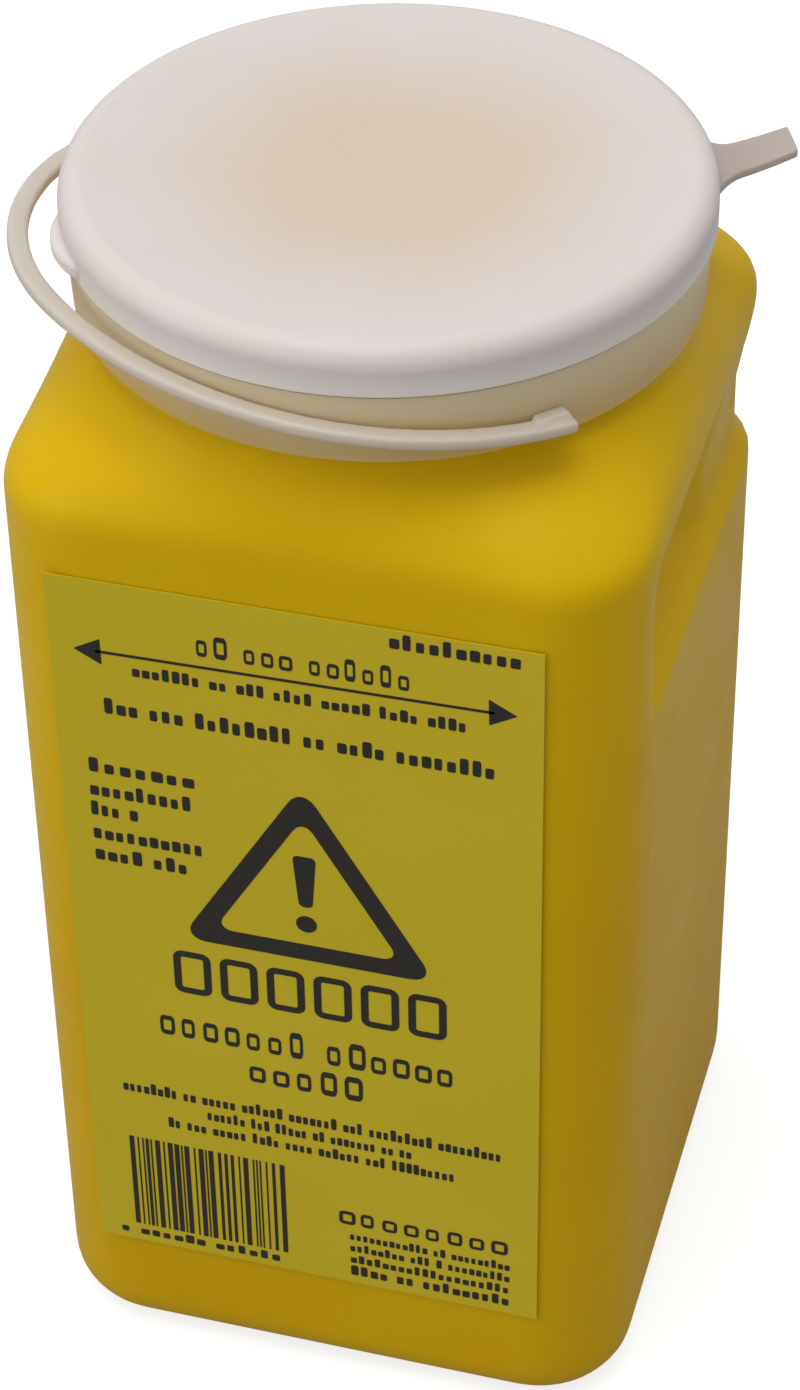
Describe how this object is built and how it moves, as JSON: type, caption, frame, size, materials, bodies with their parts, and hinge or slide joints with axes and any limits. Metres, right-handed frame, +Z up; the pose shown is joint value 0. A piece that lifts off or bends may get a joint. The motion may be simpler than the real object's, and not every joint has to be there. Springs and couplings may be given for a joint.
{
  "type": "sharps container",
  "caption": "Square yellow bottle with a round neck and side grip grooves, closed by a round snap lid that stays on by a flexible strap, with a pull tab.",
  "frame": {"origin": "middle of the flat base, on the surface it stands on", "axes": "+Z up along the neck's axis, the label faces -Y, +X to the label's right"},
  "size_m": [0.1137, 0.1027, 0.2124],
  "materials": {
    "yellow_polyethylene": "satin moulded",
    "label_film": "satin film",
    "collar_natural": "milky, lets the yellow through",
    "strap_natural": "milky natural",
    "lid_natural": "milky natural, satin"
  },
  "bodies": {
    "container": {"container_body": "yellow_polyethylene", "front_label": "label_film", "collar_ring": "collar_natural", "strap_anchor": "strap_natural", "tether_strap": "strap_natural"},
    "strap_end": {"strap_knuckle": "strap_natural"},
    "lid": {"lid_cap": "lid_natural", "lid_seal": "lid_natural", "hinge_ear": "lid_natural", "thumb_lug": "lid_natural"},
    "tab": {"pull_tab": "lid_natural"}
  },
  "joints": [
    {"name": "lid_lift", "type": "slide", "parent": "container", "child": "strap_end", "axis": [0, 0, 1], "range_m": [0, 0.04], "deforming": ["tether_strap"]},
    {"name": "lid_tilt", "type": "hinge", "parent": "strap_end", "child": "lid", "pos_m": [-0.04949, 0.01052, 0.2044], "axis": [-0.2079, -0.9781, 0], "range_deg": [0, 100]},
    {"name": "tab_bend", "type": "hinge", "parent": "lid", "child": "tab", "pos_m": [0.0455, 0.02122, 0.2061], "axis": [0.4226, -0.9063, 0], "range_deg": [-25, 35], "stiffness_Nm_per_rad": 0.003}
  ],
  "couplings": [
    {"joint": "lid_tilt", "follows": "lid_lift", "rad_per_m": 43.633}
  ]
}
